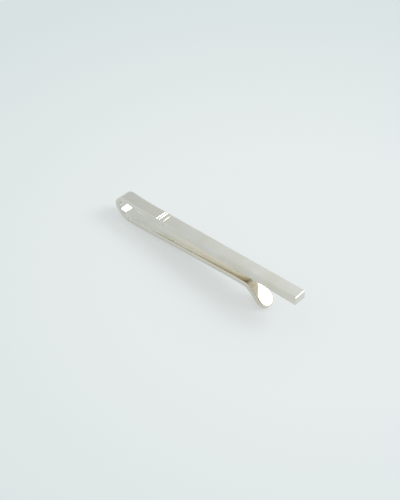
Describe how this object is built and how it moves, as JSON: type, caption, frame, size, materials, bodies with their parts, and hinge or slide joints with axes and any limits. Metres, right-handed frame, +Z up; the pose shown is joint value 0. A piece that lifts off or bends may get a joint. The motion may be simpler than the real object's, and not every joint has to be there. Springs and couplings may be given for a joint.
{
  "type": "tie clip",
  "caption": "Slide-on tie clip of one bent, polished metal strip: a tapered front bar, a closed springy bend and a leg with a ridged pinch crest and a round thumb tab.",
  "frame": {"origin": "middle of the clip's bounding box, at table height", "axes": "+X to the free end of the front bar, +Y across the strip to the side where the cut grooves are deepest, +Z up, front face up; the clip rests on its bend and on the tip of its thumb tab, which tilts the bar by about 4 degrees"},
  "size_m": [0.0548, 0.0042, 0.0096],
  "materials": {
    "polished_silver": "polished"
  },
  "bodies": {
    "bar": {"front_bar": "polished_silver", "bar_shoulder": "polished_silver", "bend_upper": "polished_silver", "bend_crown": "polished_silver"},
    "leg": {"bend_lower": "polished_silver", "spring_leg": "polished_silver", "pinch_crest": "polished_silver", "grip_land": "polished_silver", "tab_neck": "polished_silver", "tab_end": "polished_silver"}
  },
  "joints": [
    {"name": "bend_flex", "type": "hinge", "parent": "bar", "child": "leg", "pos_m": [-0.02714, 0, 0.00248], "axis": [0, 1, 0], "range_deg": [0, 6], "stiffness_Nm_per_rad": 1.4}
  ]
}
